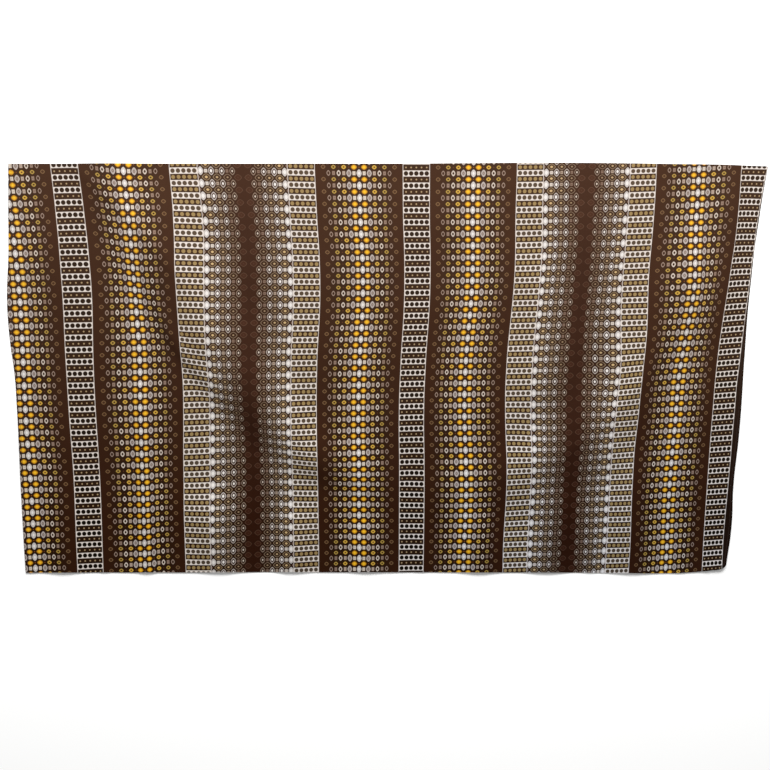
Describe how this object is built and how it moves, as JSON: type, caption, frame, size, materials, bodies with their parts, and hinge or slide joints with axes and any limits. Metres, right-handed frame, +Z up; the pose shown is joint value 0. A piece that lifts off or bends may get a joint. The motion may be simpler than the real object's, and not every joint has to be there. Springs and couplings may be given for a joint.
{
  "type": "sarong",
  "caption": "Printed cotton sarong, one open length of cloth with a narrow turned hem at each end, laid out flat with soft folds.",
  "frame": {"origin": "middle of the box seen from above, on the surface that the cloth lies on", "axes": "+X along the cloth's length, towards the end with the rounded corner; +Y across it; +Z up from the surface"},
  "size_m": [2.0224, 1.141, 0.0229],
  "materials": {
    "printed_cotton": "plain-woven cotton printed with bands of dots, rings and ladders in white, gold and tan on dark brown",
    "hem_cotton": "the same printed cotton, turned under and stitched"
  },
  "bodies": {
    "root": {"cloth_panel": "printed_cotton", "hem_left_end": "hem_cotton", "hem_right_end": "hem_cotton"}
  },
  "joints": []
}
